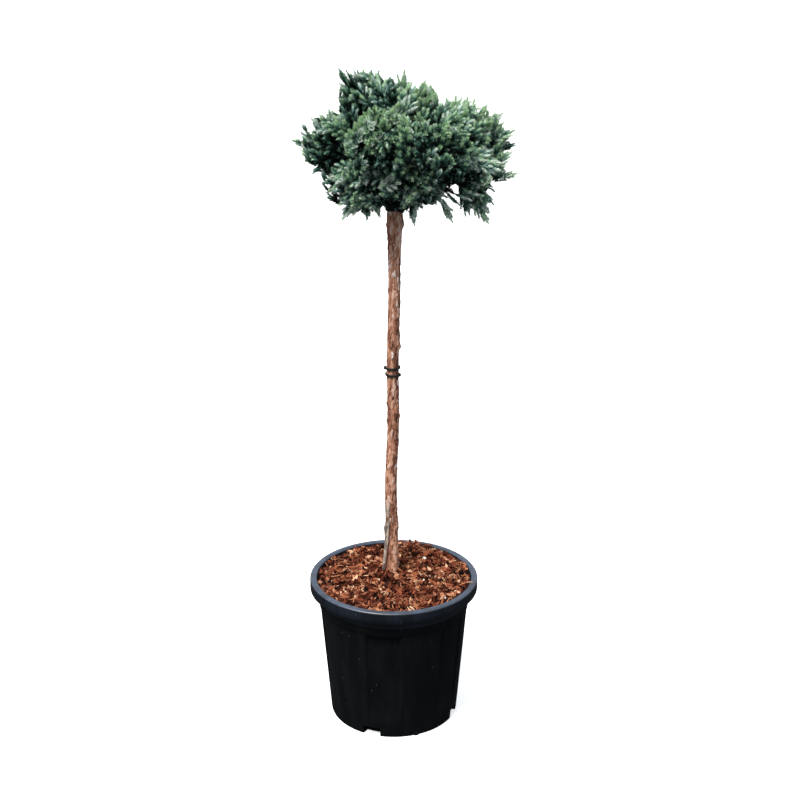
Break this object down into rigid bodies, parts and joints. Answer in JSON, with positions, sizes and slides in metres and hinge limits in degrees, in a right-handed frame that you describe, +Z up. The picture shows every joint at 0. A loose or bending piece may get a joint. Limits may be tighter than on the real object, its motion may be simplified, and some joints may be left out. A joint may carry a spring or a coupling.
{
  "type": "potted juniper standard",
  "caption": "Juniper grafted on a clear upright stem, with a dense rounded feathery head, in a round fluted nursery pot filled with bark mulch.",
  "frame": {"origin": "centre of the pot's flat underside", "axes": "+Z up along the stem, -Y towards the viewer, +X to the viewer's right"},
  "size_m": [0.325, 0.2869, 1.0292],
  "materials": {
    "pot": "moulded black nursery plastic with a soft sheen and light scuffs",
    "mulch": "loose reddish-brown bark chips, fibre and a few white perlite grains",
    "bark": "reddish-brown fibrous bark that peels in pale flakes",
    "rubber": "black rubber plant tie",
    "foliage": "short blue-green needles in dense sprays with paler tips"
  },
  "bodies": {
    "root": {"bough_back_centre": "bark", "bough_back_left": "bark", "bough_back_right": "bark", "bough_front_centre": "bark", "bough_front_low": "bark", "bough_front_right": "bark", "bough_left_lower": "bark", "bough_left_upper": "bark", "bough_low_right": "bark", "bough_right_lower": "bark", "bough_right_upper": "bark", "bough_top_left": "bark", "bough_top_right": "bark", "foliage_back_centre": "foliage", "foliage_back_left": "foliage", "foliage_back_right": "foliage", "foliage_front_centre": "foliage", "foliage_front_low": "foliage", "foliage_front_right": "foliage", "foliage_left_lower": "foliage", "foliage_left_upper": "foliage", "foliage_low_right": "foliage", "foliage_right_lower": "foliage", "foliage_right_upper": "foliage", "foliage_top_left": "foliage", "foliage_top_right": "foliage", "growing_medium": "mulch", "pot": "pot", "tie_graft": "rubber", "tie_middle_lower": "rubber", "tie_middle_upper": "rubber", "trunk": "bark"}
  },
  "joints": []
}
